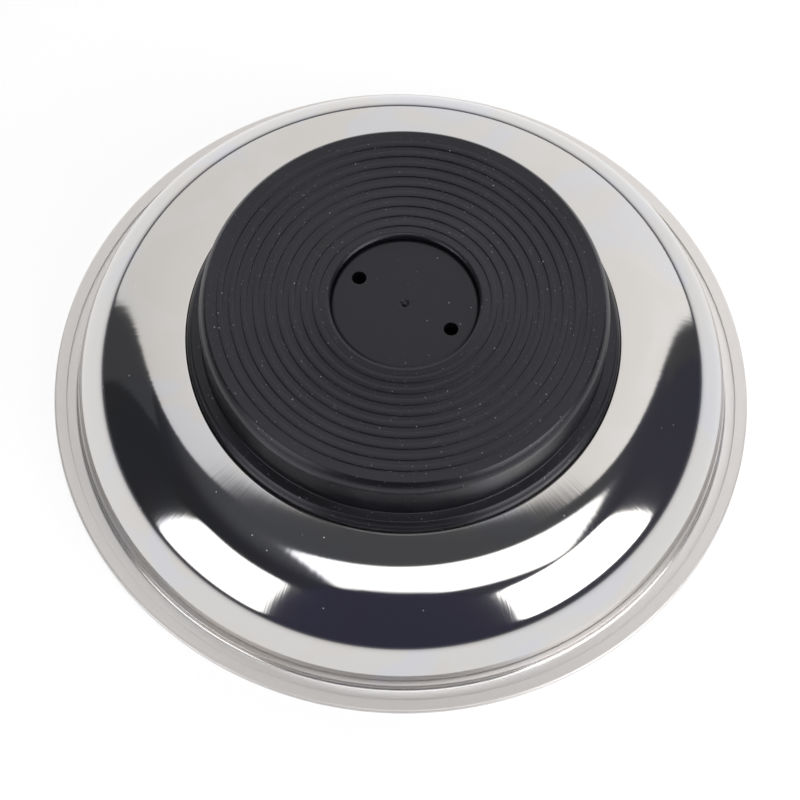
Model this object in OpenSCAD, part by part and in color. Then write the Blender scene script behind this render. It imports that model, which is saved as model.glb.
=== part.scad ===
// Magnetic parts tray: a pressed steel dish on a ring magnet in a ribbed rubber boot.
// It stands mouth up. The origin is in the middle, at the tops of the ring ribs, which it stands on.

/* [Dish] */
// Outside diameter over the folded rim
dish_d = 150; // [125:1:220]
// Height from the underside of the dish's bottom to the top of its rim
dish_h = 23.3; // [10:0.1:45]
// Thickness of the steel sheet
sheet_t = 0.5; // [0.3:0.05:0.8]
// Width of the flat rim outside the wall
rim_w = 5.3; // [4:0.1:12]
// Outside radius of the rounding between the bottom and the wall
wall_round_r = 21.8; // [3:0.1:40]
// Underside radius of the bend between the wall and the rim
rim_bend_r = 0.8; // [0.3:0.1:2]
// Width of the edge that is folded back under the rim
hem_w = 2.7; // [1.5:0.1:4]

/* [Magnet] */
// Outside diameter of the ring magnet
magnet_d = 80; // [60:1:95]
// Bore of the ring magnet
magnet_bore_d = 26; // [25.2:0.1:28]
// Thickness of the ring magnet
magnet_t = 10; // [8:0.1:20]
// Width of the broken edges of the ring magnet
magnet_chamfer = 0.5; // [0.2:0.1:1.5]

/* [Boot] */
// Wall of the boot round the magnet
boot_wall_t = 1.7; // [0.8:0.1:4]
// Rounding between the boot's ring face and its side
boot_round_r = 1.5; // [0.5:0.1:3.5]
// Width of the flange that seats against the dish
flange_w = 3.1; // [1.5:0.1:6]
// Thickness of that flange
flange_t = 2.8; // [1.5:0.1:6]
// Rounding of the flange's outer edge
flange_round_r = 1.2; // [0.3:0.1:1.4]
// Width of a ring rib
rib_w = 1.2; // [0.6:0.05:1.4]
// Height of a ring rib above the ring face
rib_h = 0.3; // [0.1:0.05:0.8]
// Distance from one ring rib to the next
rib_pitch = 2.42; // [1.6:0.01:5]
// Plain land between the recess and the first ring rib
inner_land_w = 1.7; // [0.8:0.05:4]
// Least plain land outside the last ring rib
outer_land_w = 1.4; // [0.8:0.05:3]
// Width of the lip that is clamped between the plug and the magnet
lip_w = 2.2; // [1.2:0.1:3]
// Thickness of that lip
lip_t = 0.8; // [0.4:0.1:2]

/* [Hub plug] */
// Diameter of the recess in the ring face that holds the plug
recess_d = 30.4; // [29:0.1:36]
// Width of the bevel round the recess's mouth
recess_bevel_w = 0.65; // [0.3:0.05:1.6]
// Depth of that bevel
recess_bevel_h = 1; // [0.3:0.05:1.4]
// Depth of the plug's face below the tops of the ring ribs
recess_depth = 1.6; // [0.6:0.05:3]
// Thickness of the plug's flange
plug_flange_t = 2.2; // [1.6:0.1:4]
// Diameter of the plug's boss inside the magnet
boss_d = 16; // [11:0.1:17.5]
// Place of the two spanner holes, as a share of the way from the boss to the plug's edge
spanner_share = 0.425; // [0.3:0.005:0.48]
// Diameter of a spanner hole
spanner_hole_d = 3; // [1:0.1:3.2]
// Diameter of the moulding nub in the middle of the plug
nub_d = 1.6; // [0.8:0.1:3]
// Height of the moulding nub
nub_h = 0.2; // [0.1:0.05:0.3]

/* [Fastener] */
// Thread diameter of the centre screw
screw_d = 5; // [3:0.1:6]
// Head diameter of the centre screw
head_d = 10; // [8:0.1:14]
// Head height of the centre screw
head_h = 3.7; // [2.6:0.1:6]
// Length of the thread beyond the insert
thread_past = 1.8; // [0.5:0.1:2.2]
// Outside diameter of the flat washer
flat_washer_d = 15; // [11:0.1:25]
// Thickness of the flat washer
flat_washer_t = 1.2; // [0.5:0.1:2]
// Outside diameter of the lock washer
lock_washer_d = 9.2; // [8:0.1:12]
// Thickness of the lock washer
lock_washer_t = 1.2; // [0.6:0.1:2]
// Outside diameter of the threaded insert
insert_d = 7.2; // [6.2:0.1:8]
// Length of the threaded insert
insert_l = 7; // [4:0.1:7.6]

/* [Hidden] */
$fn = 120;

// Clearances
magnet_fit = 0.2;
plug_fit = 0.15;
screw_fit = 0.25;
thread_fit = 0.05;
boss_clear = 0.3;
tip_clear = 0.4;
hem_gap = 0.1;

// Small sizes of the pieces
seat_land_w = 1;
plug_edge_r = 0.5;
head_edge_h = 1.4;
cross_l = 5.4;
cross_w = 1.1;
cross_depth = 2.1;
tip_chamfer = 0.5;
split_w = 0.9;
collar_w = 0.7;
collar_t = 1.4;
cut = 1;

// Heights, from the tops of the ring ribs up
lip_z = recess_depth + plug_flange_t;
floor_z = lip_z + lip_t;
base_h = floor_z + magnet_t;
dish_floor_z = base_h + sheet_t;
rim_z = base_h + dish_h;
boss_z = base_h - boss_clear;
insert_z = boss_z - insert_l;
lock_washer_z = dish_floor_z + flat_washer_t;
head_z = lock_washer_z + lock_washer_t;
tip_z = insert_z - thread_past;

// Radii of the base
cavity_r = magnet_d / 2 + magnet_fit;
boot_r = cavity_r + boot_wall_t;
flange_r = boot_r + flange_w;
face_r = boot_r - boot_round_r;
recess_r = recess_d / 2;
plug_r = recess_r - plug_fit;
spanner_pcd = boss_d + spanner_share * (2 * plug_r - boss_d);
first_rib_r = recess_r + recess_bevel_w + inner_land_w + rib_w / 2;
rib_n = 1 + floor((face_r - outer_land_w - rib_w / 2 - first_rib_r) / rib_pitch);

// Radii of the dish: the rounding stops at the rim's bend and leaves a flat seat for the flange
rim_r = dish_d / 2;
wall_r = rim_r - rim_w;
wall_round = min(wall_round_r, dish_h - sheet_t - rim_bend_r, wall_r - flange_r - seat_land_w);
seat_r = wall_r - wall_round;
hem_r = sheet_t + hem_gap / 2;

// Holes of the fastener
screw_hole_d = screw_d + 2 * screw_fit;
thread_hole_d = screw_d + 2 * thread_fit;
head_dome_r = (pow(head_d / 2, 2) + pow(head_h - head_edge_h, 2)) / (2 * (head_h - head_edge_h));

// Rectangle in the section plane between two radii and two heights
module band(r_in, r_out, z_low, z_high) {
    translate([r_in, z_low])
        square([r_out - r_in, z_high - z_low]);
}

// Quarter of a sheet bend about a point in the section plane, from the angle turn on
module bend(r, z, outer_r, turn) {
    translate([r, z])
        rotate(turn)
            intersection() {
                difference() {
                    circle(outer_r);
                    circle(outer_r - sheet_t);
                }
                square(outer_r);
            }
}

// Band whose lower outer corner is rounded
module rounded_band(r_out, z_low, z_high, round_r) {
    band(0, r_out - round_r, z_low, z_high);
    band(0, r_out, z_low + round_r, z_high);
    translate([r_out - round_r, z_low + round_r])
        circle(round_r);
}

// Section of the dish: bottom, rounded wall, bend, rim and hem
module dish_section() {
    band(screw_hole_d / 2, seat_r, base_h, dish_floor_z);
    bend(seat_r, base_h + wall_round, wall_round, -90);
    band(wall_r - sheet_t, wall_r, base_h + wall_round, rim_z - sheet_t - rim_bend_r);
    bend(wall_r + rim_bend_r, rim_z - sheet_t - rim_bend_r, rim_bend_r + sheet_t, 90);
    band(wall_r + rim_bend_r, rim_r - hem_r, rim_z - sheet_t, rim_z);
    bend(rim_r - hem_r, rim_z - hem_r, hem_r, 0);
    bend(rim_r - hem_r, rim_z - hem_r, hem_r, -90);
    band(rim_r - hem_w, rim_r - hem_r, rim_z - 2 * hem_r, rim_z - 2 * hem_r + sheet_t);
}

// One ring rib, sunk into the ring face by its own height
module rib_section(r) {
    band(r - rib_w / 2, r + rib_w / 2, 0, 2 * rib_h);
}

// Recess for the plug, with its mouth bevelled
module recess_section() {
    band(0, recess_r, -cut, lip_z);
    polygon([
        [recess_r, rib_h],
        [recess_r + recess_bevel_w, rib_h],
        [recess_r, rib_h + recess_bevel_h]
    ]);
}

// Section of the boot: body, flange and ring ribs, less the magnet's room and the recess
module boot_section() {
    difference() {
        union() {
            rounded_band(boot_r, rib_h, base_h, boot_round_r);
            rounded_band(flange_r, base_h - flange_t, base_h, flange_round_r);
            for (i = [0 : rib_n - 1])
                rib_section(first_rib_r + i * rib_pitch);
        }
        band(0, cavity_r, floor_z, base_h + cut);
        band(0, recess_r - lip_w, -cut, floor_z + cut);
        recess_section();
    }
}

// Pan head of the screw, as the part of a dome over the head's disc
module head_section() {
    translate([0, head_z])
        intersection() {
            square([head_d / 2, head_h]);
            translate([0, head_h - head_dome_r])
                circle(head_dome_r);
        }
}

// Flat ring with a bore
module ring(d, bore_d, z, t) {
    translate([0, 0, z])
        difference() {
            cylinder(d = d, h = t);
            translate([0, 0, -cut])
                cylinder(d = bore_d, h = t + 2 * cut);
        }
}

// Solid of the threaded insert before it is bored: body with a collar at its lower end
module insert_blank() {
    translate([0, 0, insert_z]) {
        cylinder(d = insert_d, h = insert_l);
        cylinder(d = insert_d + 2 * collar_w, h = collar_t);
    }
}

module dish() {
    color("gainsboro")
        rotate_extrude()
            dish_section();
}

module boot() {
    color("#2c2d30")
        rotate_extrude()
            boot_section();
}

module hub_plug() {
    color("#26272a")
        difference() {
            union() {
                rotate_extrude()
                    rounded_band(plug_r, recess_depth, lip_z, plug_edge_r);
                translate([0, 0, recess_depth])
                    cylinder(d = boss_d, h = boss_z - recess_depth);
                translate([0, 0, recess_depth - nub_h])
                    cylinder(d = nub_d, h = nub_h);
            }
            insert_blank();
            translate([0, 0, tip_z - tip_clear])
                cylinder(d = thread_hole_d, h = insert_z - tip_z + tip_clear);
            for (side = [-1, 1])
                translate([side * spanner_pcd / 2, 0, recess_depth - cut])
                    cylinder(d = spanner_hole_d, h = plug_flange_t + 2 * cut);
        }
}

module ring_magnet() {
    color("#3b3836")
        rotate_extrude()
            polygon([
                [magnet_bore_d / 2 + magnet_chamfer, floor_z],
                [magnet_d / 2 - magnet_chamfer, floor_z],
                [magnet_d / 2, floor_z + magnet_chamfer],
                [magnet_d / 2, base_h - magnet_chamfer],
                [magnet_d / 2 - magnet_chamfer, base_h],
                [magnet_bore_d / 2 + magnet_chamfer, base_h],
                [magnet_bore_d / 2, base_h - magnet_chamfer],
                [magnet_bore_d / 2, floor_z + magnet_chamfer]
            ]);
}

module centre_screw() {
    color("silver")
        difference() {
            union() {
                rotate_extrude()
                    head_section();
                translate([0, 0, tip_z + tip_chamfer])
                    cylinder(d = screw_d, h = head_z - tip_z - tip_chamfer);
                translate([0, 0, tip_z])
                    cylinder(d1 = screw_d - 2 * tip_chamfer, d2 = screw_d, h = tip_chamfer);
            }
            for (turn = [0, 90])
                rotate(turn)
                    translate([-cross_l / 2, -cross_w / 2, head_z + head_h - cross_depth])
                        cube([cross_l, cross_w, cross_depth + cut]);
        }
}

module lock_washer() {
    color("lightgray")
        difference() {
            ring(lock_washer_d, screw_hole_d, lock_washer_z, lock_washer_t);
            translate([0, -split_w / 2, lock_washer_z - cut])
                cube([lock_washer_d, split_w, lock_washer_t + 2 * cut]);
        }
}

module flat_washer() {
    color("lightgray")
        ring(flat_washer_d, screw_hole_d, dish_floor_z, flat_washer_t);
}

module threaded_insert() {
    color("goldenrod")
        difference() {
            insert_blank();
            translate([0, 0, insert_z - cut])
                cylinder(d = thread_hole_d, h = insert_l + 2 * cut);
        }
}

dish();
boot();
hub_plug();
ring_magnet();
centre_screw();
lock_washer();
flat_washer();
threaded_insert();
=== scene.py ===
"""Looks of the magnetic parts tray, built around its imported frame.

The tray stands mouth up in its frame. The photograph shows it turned over, lying on its rim, so the main
camera looks at it from below, and the table and the studio of that view hang upside down below it too.
"""

import logging
import math
from dataclasses import dataclass
from enum import Enum

import bmesh
import bpy
from bpy.types import Material, NodeSocket, NodeTree, Object
from mathutils import Matrix, Vector


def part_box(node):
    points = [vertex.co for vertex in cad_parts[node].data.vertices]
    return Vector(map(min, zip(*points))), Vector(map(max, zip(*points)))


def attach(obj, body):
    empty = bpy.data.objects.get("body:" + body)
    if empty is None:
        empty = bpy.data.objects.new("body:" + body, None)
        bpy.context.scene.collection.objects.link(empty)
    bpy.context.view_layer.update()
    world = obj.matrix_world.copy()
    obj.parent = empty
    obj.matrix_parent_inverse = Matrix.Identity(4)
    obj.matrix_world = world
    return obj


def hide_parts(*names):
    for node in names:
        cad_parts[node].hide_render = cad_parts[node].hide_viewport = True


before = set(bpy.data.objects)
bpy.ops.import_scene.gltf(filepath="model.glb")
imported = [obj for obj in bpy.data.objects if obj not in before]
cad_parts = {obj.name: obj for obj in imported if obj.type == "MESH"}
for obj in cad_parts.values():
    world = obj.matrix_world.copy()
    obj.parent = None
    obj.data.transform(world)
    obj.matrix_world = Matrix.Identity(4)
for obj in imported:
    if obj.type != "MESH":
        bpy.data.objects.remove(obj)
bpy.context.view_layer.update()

MM = 0.001
BODY = "root"
LOG = logging.getLogger("parts_tray")

Point = tuple[float, float]
Colour = tuple[float, float, float, float]

# Edges that turn by more than this stay sharp.
CREASE = math.radians(32)

# Node types that most of the trees use. RANGE takes a value, its range and the range that this becomes.
# MIX of colours takes the share at input 0 and the colours at 6 and 7, and gives the result at output 2.
MATH, VECTOR, RANGE = "ShaderNodeMath", "ShaderNodeVectorMath", "ShaderNodeMapRange"
NOISE, MIX, BUMP = "ShaderNodeTexNoise", "ShaderNodeMix", "ShaderNodeBump"
PRINCIPLED, EMISSION = "ShaderNodeBsdfPrincipled", "ShaderNodeEmission"
SOFT_STEP = {"interpolation_type": "SMOOTHSTEP"}

# The photograph shows the tray turned over about X and then by this angle about its axis.
PHOTO_TURN = math.radians(-30)
PHOTO_TO_PART = Matrix.Rotation(PHOTO_TURN, 4, "Z") @ Matrix.Rotation(math.pi, 4, "X")


def srgb(code: str) -> Colour:
    """Linear colour of an sRGB one in hex, a hash sign and six digits, with an alpha of one."""
    shares = [int(code[i : i + 2], 16) / 255 for i in (1, 3, 5)]
    return (*[s / 12.92 if s <= 0.04045 else ((s + 0.055) / 1.055) ** 2.4 for s in shares], 1.0)


def mixed(first: Colour, second: Colour, share: float) -> Colour:
    """Mix of two linear colours, with that share of the second one."""
    return tuple(a + (b - a) * share for a, b in zip(first, second))


def smooth(value: float, start: float, end: float) -> float:
    """Step without corners from 0 at start to 1 at end."""
    share = min(max((value - start) / (end - start), 0.0), 1.0)
    return share * share * (3 - 2 * share)


def per_mm(size: float) -> float:
    """Scale of a pattern on coordinates in metres whose features are size millimetres wide."""
    return 1 / (size * MM)


def add_node(
    tree: NodeTree, kind: str, inputs: dict | tuple = (), out: int | str = 0, **settings: object
) -> NodeSocket | None:
    """Adds a node with its settings and links.

    Args:
        tree: The tree that takes the node.
        kind: The node's type name.
        inputs: Constants, or the sockets that feed the node, in order or by input name or number.
        out: Name or number of the output that is wanted.
        settings: Properties of the node.

    Returns:
        That output, or None on a node that has none.
    """
    node = tree.nodes.new(kind)
    for name, value in settings.items():
        setattr(node, name, value)
    for key, value in inputs.items() if isinstance(inputs, dict) else enumerate(inputs):
        if isinstance(value, NodeSocket):
            tree.links.new(value, node.inputs[key])
        else:
            node.inputs[key].default_value = value
    return node.outputs[out] if node.outputs else None


def arc(centre: Point, radius: float, start: float, end: float, steps: int) -> list[Point]:
    """Points of an arc in the section plane.

    Args:
        centre: Radius and height of the arc's centre.
        radius: The arc's own radius.
        start: Angle of the first point in degrees, from outwards towards up.
        end: Angle of the last point.
        steps: Number of chords.

    Returns:
        Its points, both ends included.
    """
    angles = [math.radians(start + (end - start) * i / steps) for i in range(steps + 1)]
    return [(centre[0] + radius * math.cos(a), centre[1] + radius * math.sin(a)) for a in angles]


def line(start: Point, end: Point, steps: int) -> list[Point]:
    """Points of a straight stretch in the section plane, both ends included."""
    shares = [i / steps for i in range(steps + 1)]
    return [(start[0] + (end[0] - start[0]) * s, start[1] + (end[1] - start[1]) * s) for s in shares]


def joined(*stretches: list[Point]) -> list[Point]:
    """One path from several stretches, without the points that two of them share.

    Args:
        stretches: The stretches in their order.

    Returns:
        The path's points.
    """
    path: list[Point] = []
    for point in [p for stretch in stretches for p in stretch]:
        if not path or math.dist(path[-1], point) > 1e-6:
            path.append(point)
    return path


def new_object(name: str, points: list, edges: list, faces: list) -> Object:
    """Makes a mesh object in the scene.

    Args:
        name: The object's name.
        points: Its vertices in metres.
        edges: Its loose edges.
        faces: Its faces.

    Returns:
        The linked object, at the origin.
    """
    mesh = bpy.data.meshes.new(name)
    mesh.from_pydata(points, edges, faces)
    obj = bpy.data.objects.new(name, mesh)
    bpy.context.scene.collection.objects.link(obj)
    return obj


def baked(obj: Object) -> Object:
    """Turns an object's evaluated result into its plain mesh, with its faces pointing outwards.

    Args:
        obj: An object whose modifiers are still live.

    Returns:
        The same object.
    """
    bpy.context.view_layer.update()
    result = obj.evaluated_get(bpy.context.evaluated_depsgraph_get())
    mesh = bpy.data.meshes.new_from_object(result)
    obj.modifiers.clear()
    obj.data = mesh
    mesh.name = obj.name
    shape = bmesh.new()
    shape.from_mesh(mesh)
    bmesh.ops.recalc_face_normals(shape, faces=shape.faces)
    shape.to_mesh(mesh)
    shape.free()
    return obj


def use_tree(obj: Object, tree: NodeTree, values: dict[str, object]) -> None:
    """Adds a Geometry Nodes modifier and sets its inputs by their identifiers.

    Args:
        obj: The object that the tree works on.
        tree: The tree.
        values: Values of its inputs by their names.
    """
    modifier = obj.modifiers.new(tree.name, "NODES")
    modifier.node_group = tree
    for item in tree.interface.items_tree:
        if item.in_out == "INPUT" and item.name in values:
            modifier[item.identifier] = values[item.name]


def new_tree(name: str, inputs: dict[str, str]) -> tuple[NodeTree, dict[str, NodeSocket]]:
    """Starts a Geometry Nodes tree, whose first input is the geometry and whose last one is the finish.

    Args:
        name: The tree's name.
        inputs: Names of the inputs between these two, and what they hold.

    Returns:
        The tree, and the sockets of its inputs by their names.
    """
    tree = bpy.data.node_groups.new(name, "GeometryNodeTree")
    held = {"Geometry": "Geometry", **inputs, "Finish": "Material"}
    for label, kind in held.items():
        tree.interface.new_socket(label, in_out="INPUT", socket_type=f"NodeSocket{kind}")
    tree.interface.new_socket("Geometry", in_out="OUTPUT", socket_type="NodeSocketGeometry")
    sockets = tree.nodes.new("NodeGroupInput").outputs
    return tree, {label: sockets[label] for label in held}


def close_tree(tree: NodeTree, mesh: NodeSocket, finish: NodeSocket) -> None:
    """Ends a tree: smooth faces with the sharp edges kept, plain geometry and the finish.

    Args:
        tree: The tree that is ended.
        mesh: The geometry that it made.
        finish: Its input for the material.
    """
    angle = add_node(tree, "GeometryNodeInputMeshEdgeAngle", out="Unsigned Angle")
    sharp = add_node(
        tree, "FunctionNodeCompare", (angle, CREASE), data_type="FLOAT", operation="GREATER_THAN"
    )
    shade = "GeometryNodeSetShadeSmooth"
    soft = add_node(tree, shade, {"Geometry": mesh, "Shade Smooth": True}, domain="FACE")
    edged = add_node(
        tree, shade, {"Geometry": soft, "Selection": sharp, "Shade Smooth": False}, domain="EDGE"
    )
    plain = add_node(tree, "GeometryNodeRealizeInstances", {"Geometry": edged})
    dressed = add_node(tree, "GeometryNodeSetMaterial", {"Geometry": plain, "Material": finish})
    add_node(tree, "NodeGroupOutput", (dressed,))


class Lathe:
    """Turns sections about the Z axis with one Geometry Nodes tree."""

    wander_radius = 70.0

    def __init__(self) -> None:
        """Builds the tree."""
        self.tree = self._tree()

    def _tree(self) -> NodeTree:
        """A grid of section points by turns, wrapped round the axis and welded.

        Returns:
            The tree.
        """
        tree, given = new_tree("lathe", {"Turns": "Int", "Wander": "Float", "Wander Scale": "Float"})
        section, turns = given["Geometry"], given["Turns"]
        count = add_node(tree, "GeometryNodeAttributeDomainSize", {"Geometry": section}, "Point Count")
        columns = add_node(tree, MATH, (turns, 1.0), operation="ADD")
        grid = add_node(tree, "GeometryNodeMeshGrid", {"Vertices X": count, "Vertices Y": columns})
        index = add_node(tree, "GeometryNodeInputIndex")
        shifted = add_node(tree, MATH, (index, 0.5), operation="ADD")
        share = add_node(tree, MATH, (shifted, columns), operation="DIVIDE")
        row = add_node(tree, MATH, (share,), operation="FLOOR")
        before = add_node(tree, MATH, (row, columns), operation="MULTIPLY")
        column = add_node(tree, MATH, (index, before), operation="SUBTRACT")
        step = add_node(tree, MATH, (math.tau, turns), operation="DIVIDE")
        angle = add_node(tree, MATH, (column, step), operation="MULTIPLY")
        cosine = add_node(tree, MATH, (angle,), operation="COSINE")
        sine = add_node(tree, MATH, (angle,), operation="SINE")
        place = add_node(tree, "GeometryNodeInputPosition")
        point = add_node(
            tree,
            "GeometryNodeSampleIndex",
            {"Geometry": section, "Value": place, "Index": row},
            data_type="FLOAT_VECTOR",
        )
        loose = add_node(
            tree, "GeometryNodeInputNamedAttribute", {"Name": "loose"}, "Attribute", data_type="FLOAT"
        )
        free = add_node(
            tree,
            "GeometryNodeSampleIndex",
            {"Geometry": section, "Value": loose, "Index": row},
            data_type="FLOAT",
        )
        round_place = add_node(tree, "ShaderNodeCombineXYZ", (cosine, sine))
        noise = add_node(
            tree,
            NOISE,
            {"Vector": round_place, "Scale": given["Wander Scale"], "Detail": 3.0, "Roughness": 0.6},
        )
        swing = add_node(tree, MATH, (noise, 0.5), operation="SUBTRACT")
        weighed = add_node(tree, MATH, (swing, free), operation="MULTIPLY")
        offset = add_node(tree, MATH, (weighed, given["Wander"]), operation="MULTIPLY")
        parts = add_node(tree, "ShaderNodeSeparateXYZ", (point,)).node
        radius = add_node(tree, MATH, (parts.outputs[0], offset), operation="ADD")
        across = add_node(tree, MATH, (radius, cosine), operation="MULTIPLY")
        along = add_node(tree, MATH, (radius, sine), operation="MULTIPLY")
        turned = add_node(tree, "ShaderNodeCombineXYZ", (across, along, parts.outputs[2]))
        wrapped = add_node(tree, "GeometryNodeSetPosition", {"Geometry": grid, "Position": turned})
        welded = add_node(tree, "GeometryNodeMergeByDistance", {"Geometry": wrapped, "Distance": 1e-6})
        close_tree(tree, welded, given["Finish"])
        return tree

    def turn(
        self,
        name: str,
        section: list[Point],
        finish: Material,
        turns: int,
        loose: set[int] = frozenset(),
        wander: float = 0.0,
        wander_length: float = 10.0,
    ) -> Object:
        """Turns one section into a piece whose modifier is still live.

        Args:
            name: The piece's name.
            section: Path of radius and height in millimetres. Its two ends meet, or lie on the axis.
            finish: The piece's material.
            turns: Number of facets round the axis.
            loose: Numbers of the section's points that wander in radius.
            wander: How far those points wander, in millimetres.
            wander_length: Length of one wander round the circle of wander_radius, in millimetres.

        Returns:
            The piece.
        """
        points = [(r * MM, 0.0, z * MM) for r, z in section]
        piece = new_object(name, points, [(i, i + 1) for i in range(len(points) - 1)], [])
        weights = piece.data.attributes.new("loose", "FLOAT", "POINT")
        for i in loose:
            weights.data[i].value = 1.0
        use_tree(
            piece,
            self.tree,
            {
                "Turns": turns,
                "Wander": 2 * wander * MM,
                "Wander Scale": self.wander_radius / wander_length,
                "Finish": finish,
            },
        )
        return piece


class Drill:
    """Drills two round holes on the X axis with Geometry Nodes."""

    facets = 64

    def __init__(self) -> None:
        """Builds the tree."""
        self.tree = self._tree()

    def _tree(self) -> NodeTree:
        """Two pins on a line, cut from the piece.

        Returns:
            The tree.
        """
        tree, given = new_tree(
            "drill", {"First": "Vector", "Last": "Vector", "Radius": "Float", "Depth": "Float"}
        )
        step = add_node(tree, VECTOR, (given["Last"], given["First"]), operation="SUBTRACT")
        places = add_node(
            tree, "GeometryNodeMeshLine", {"Count": 2, "Start Location": given["First"], "Offset": step}
        )
        pin = add_node(
            tree,
            "GeometryNodeMeshCylinder",
            {"Vertices": self.facets, "Radius": given["Radius"], "Depth": given["Depth"]},
        )
        pins = add_node(tree, "GeometryNodeInstanceOnPoints", {"Points": places, "Instance": pin})
        cutters = add_node(tree, "GeometryNodeRealizeInstances", {"Geometry": pins})
        cut = add_node(
            tree,
            "GeometryNodeMeshBoolean",
            {"Mesh 1": given["Geometry"], "Mesh 2": cutters},
            operation="DIFFERENCE",
            solver="EXACT",
        )
        close_tree(tree, cut, given["Finish"])
        return tree

    def cut(
        self, piece: Object, circle: float, radius: float, low: float, high: float, finish: Material
    ) -> None:
        """Cuts the two holes.

        Args:
            piece: The piece that is drilled.
            circle: Radius of the circle through the holes, in millimetres.
            radius: Radius of a hole.
            low: Height where the cut starts.
            high: Height where it ends.
            finish: The piece's material.
        """
        middle = (low + high) / 2 * MM
        use_tree(
            piece,
            self.tree,
            {
                "First": (-circle * MM, 0.0, middle),
                "Last": (circle * MM, 0.0, middle),
                "Radius": radius * MM,
                "Depth": (high - low) * MM,
                "Finish": finish,
            },
        )


class Shading:
    """A material's tree, with the coordinates that every finish starts from."""

    faintest, fullest = 0.08, 0.8

    def __init__(self, name: str) -> None:
        """Starts a material of that name.

        Args:
            name: The material's name.
        """
        self.material = bpy.data.materials.new(name)
        self.material.use_nodes = True
        self.tree = self.material.node_tree
        self.tree.nodes.clear()
        self.place = self.add("ShaderNodeTexCoord", out="Object")

    def add(self, kind: str, inputs: dict | tuple = (), out: int | str = 0, **settings: object) -> NodeSocket:
        """Adds a node to this material."""
        return add_node(self.tree, kind, inputs, out, **settings)

    def dusted(
        self, colour: NodeSocket | Colour, dust: Colour, cell: float, largest: float, share: float
    ) -> NodeSocket:
        """Strews grains of dust over a colour: one round grain in some cells of a 3-D pattern.

        Args:
            colour: The clean colour.
            dust: Colour of a full grain.
            cell: Distance between cells in millimetres.
            largest: Radius of the largest grain, as a share of a cell.
            share: Share of the cells that hold a grain.

        Returns:
            The colour with its dust.
        """
        grains = self.add("ShaderNodeTexVoronoi", {"Vector": self.place, "Scale": per_mm(cell)}).node
        chance = self.add("ShaderNodeSeparateColor", (grains.outputs["Color"],)).node
        size = self.add(RANGE, (chance.outputs[0], 1 - share, 1.0, 0.0, largest))
        near = self.add(MATH, (grains.outputs["Distance"], size), operation="LESS_THAN")
        faint = self.add(RANGE, (chance.outputs[1], 0.0, 1.0, self.faintest, self.fullest))
        cover = self.add(MATH, (near, faint), operation="MULTIPLY")
        return self.add(MIX, {0: cover, 6: colour, 7: dust}, 2, data_type="RGBA")

    def close(self, kind: str, inputs: dict | tuple) -> Material:
        """Adds the last shader, links it to the output and returns the material."""
        self.add("ShaderNodeOutputMaterial", {"Surface": self.add(kind, inputs)})
        return self.material


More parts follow.
